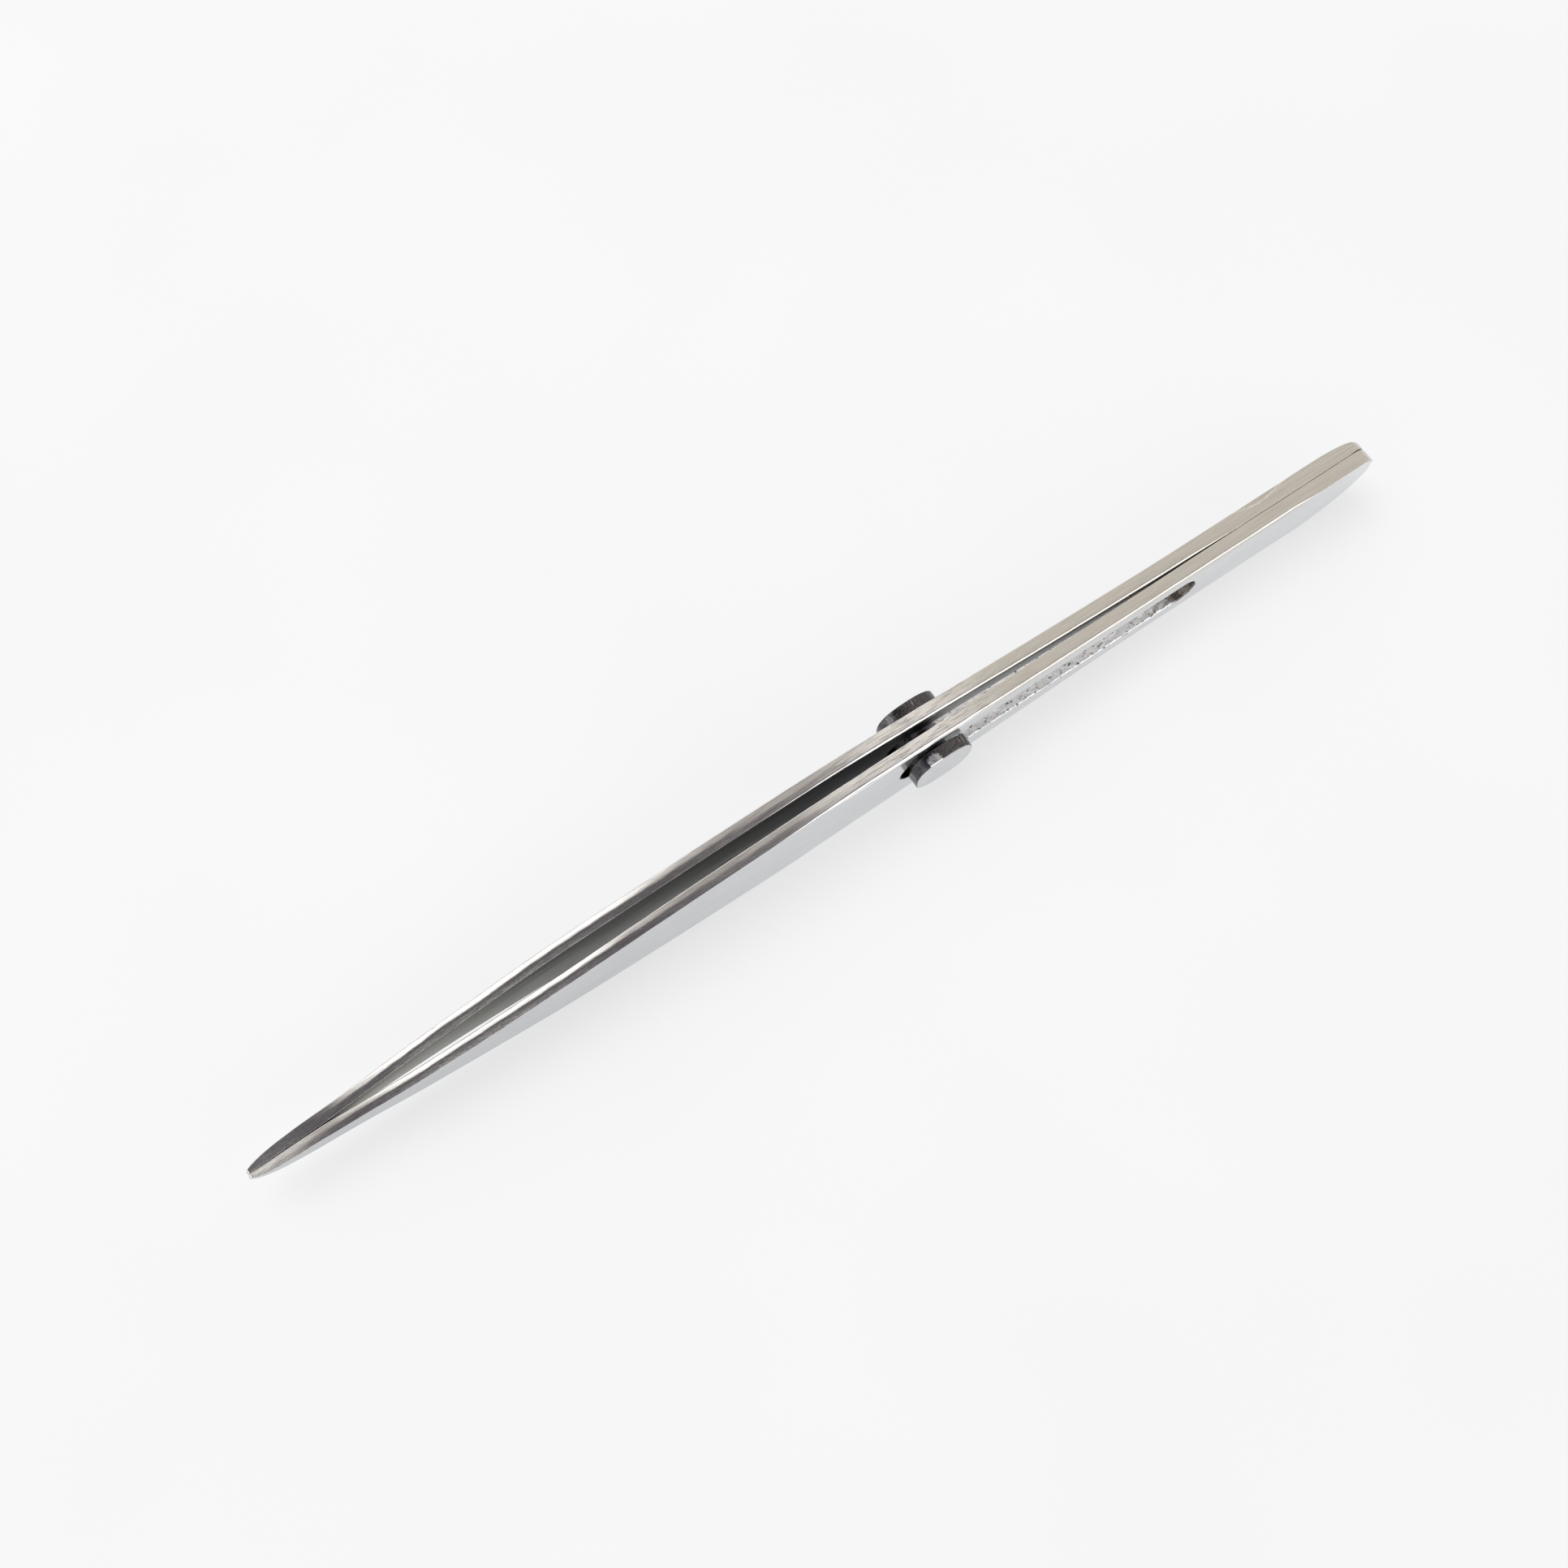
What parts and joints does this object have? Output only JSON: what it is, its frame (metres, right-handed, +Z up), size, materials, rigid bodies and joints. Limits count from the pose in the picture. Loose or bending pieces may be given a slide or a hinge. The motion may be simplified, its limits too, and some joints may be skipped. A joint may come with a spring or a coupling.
{
  "type": "slide-lock tweezers",
  "caption": "Long straight-point steel tweezers lying on edge: slotted spring arms welded at the rear, held shut or let open by a sliding cross pin with oval buttons.",
  "frame": {"origin": "on the resting plane, under the middle of the tool's box", "axes": "+X from the tips to the welded rear end, +Y from the near arm to the far arm, +Z up from the long lower edges that the tool lies on"},
  "size_m": [0.165, 0.0088, 0.012],
  "materials": {
    "arm_steel": "polished wide faces, edges ground lengthwise, slot walls left rough from stamping",
    "button_steel": "polished, with a turned rim",
    "pin_steel": "turned, satin"
  },
  "bodies": {
    "welded_end": {"near_arm_tang": "arm_steel", "far_arm_tang": "arm_steel"},
    "near_leg": {"near_arm_leg": "arm_steel"},
    "far_leg": {"far_arm_leg": "arm_steel"},
    "slider": {"slide_pin": "pin_steel", "near_button": "button_steel", "far_button": "button_steel"}
  },
  "joints": [
    {"name": "slide_travel", "type": "slide", "parent": "welded_end", "child": "slider", "axis": [0.9997, 0, -0.0261], "range_m": [0, 0.038]},
    {"name": "near_arm_flex", "type": "hinge", "parent": "welded_end", "child": "near_leg", "pos_m": [0.0605, -0.00103, 0.0047], "axis": [0, 0, 1], "range_deg": [0, 1.28]},
    {"name": "far_arm_flex", "type": "hinge", "parent": "welded_end", "child": "far_leg", "pos_m": [0.0605, 0.00103, 0.0047], "axis": [0, 0, -1], "range_deg": [0, 1.28]}
  ],
  "couplings": [
    {"joint": "near_arm_flex", "follows": "slide_travel", "rad_per_m": 0.585},
    {"joint": "far_arm_flex", "follows": "slide_travel", "rad_per_m": 0.585}
  ]
}
